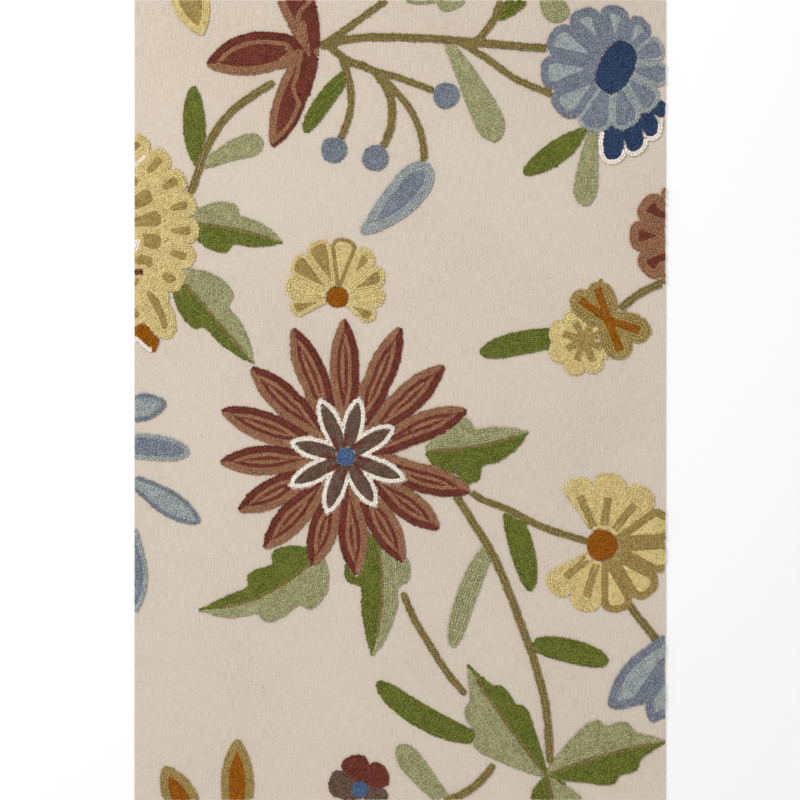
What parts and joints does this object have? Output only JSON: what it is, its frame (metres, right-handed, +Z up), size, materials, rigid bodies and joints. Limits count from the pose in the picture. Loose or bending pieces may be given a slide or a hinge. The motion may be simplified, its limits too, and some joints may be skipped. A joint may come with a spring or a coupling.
{
  "type": "crewel embroidery panel",
  "caption": "Flat cut of natural cotton cloth worked in wool chain stitch with flowers, leaves, stems and berries; lies flat for cushions, curtains or upholstery.",
  "frame": {"origin": "middle of the cloth's underside, which lies on the surface", "axes": "+X across the panel to the right, +Y along its height to its upper end, +Z up out of the worked face"},
  "size_m": [0.45, 0.678, 0.0031],
  "materials": {
    "amber": "amber orange wool chain stitch, matt",
    "blue": "mid blue wool chain stitch, matt",
    "cotton": "plain-woven natural cotton with slubs, matt",
    "cream": "cream wool chain stitch, matt",
    "gold": "old gold wool chain stitch, matt",
    "green": "leaf green wool chain stitch, matt",
    "madder": "madder red-brown wool chain stitch, matt",
    "navy": "deep navy wool chain stitch, matt",
    "olive": "olive-brown wool chain stitch, matt",
    "russet": "russet brown wool chain stitch, matt",
    "sage": "pale sage wool chain stitch, matt",
    "sky": "pale grey-blue wool chain stitch, matt",
    "slate": "slate blue wool chain stitch, matt",
    "umber": "dark umber wool chain stitch, matt",
    "yellow": "pale straw yellow wool chain stitch, matt"
  },
  "bodies": {
    "root": {"berry_01": "slate", "berry_02": "slate", "berry_03": "slate", "blossom_brown": "russet", "blossom_pair_gold": "gold", "blossom_pair_yellow": "yellow", "blossom_right": "yellow", "blossom_right_heart": "amber", "blossom_small": "yellow", "blossom_small_heart": "amber", "bud_blue": "sky", "carnation_heart": "navy", "carnation_petals": "slate", "carnation_rim": "cream", "carnation_skirt": "navy", "daisy_heart": "blue", "daisy_outline": "cream", "daisy_petals": "madder", "daisy_star": "umber", "ground_cloth": "cotton", "leaf_blue_01": "slate", "leaf_blue_02": "slate", "leaf_blue_03": "slate", "leaf_blue_04": "slate", "leaf_cluster": "green", "leaf_green_01": "green", "leaf_green_02": "green", "leaf_green_03": "green", "leaf_green_04": "green", "leaf_green_05": "green", "leaf_green_06": "green", "leaf_green_07": "green", "leaf_green_08": "green", "leaf_lobed_01": "green", "leaf_lobed_02": "green", "leaf_lobed_03": "green", "leaf_lobed_04": "green", "leaf_lobed_05": "green", "leaf_sage_01": "sage", "leaf_sage_02": "sage", "leaf_sage_03": "sage", "leaf_sage_04": "sage", "leaf_sage_05": "sage", "leaf_sage_06": "sage", "lily_petals": "madder", "mum_petals": "yellow", "pansy_petals": "madder", "petal_amber": "amber", "petal_gold_01": "gold", "petal_gold_02": "gold", "petal_yellow": "yellow", "stem_branch": "olive", "stem_corner": "olive", "stem_left": "olive", "stem_low_left": "olive", "stem_side": "olive", "stem_spray": "olive", "stem_tulip": "olive", "stem_upper_right": "olive", "tulip_petals": "slate"}
  },
  "joints": []
}
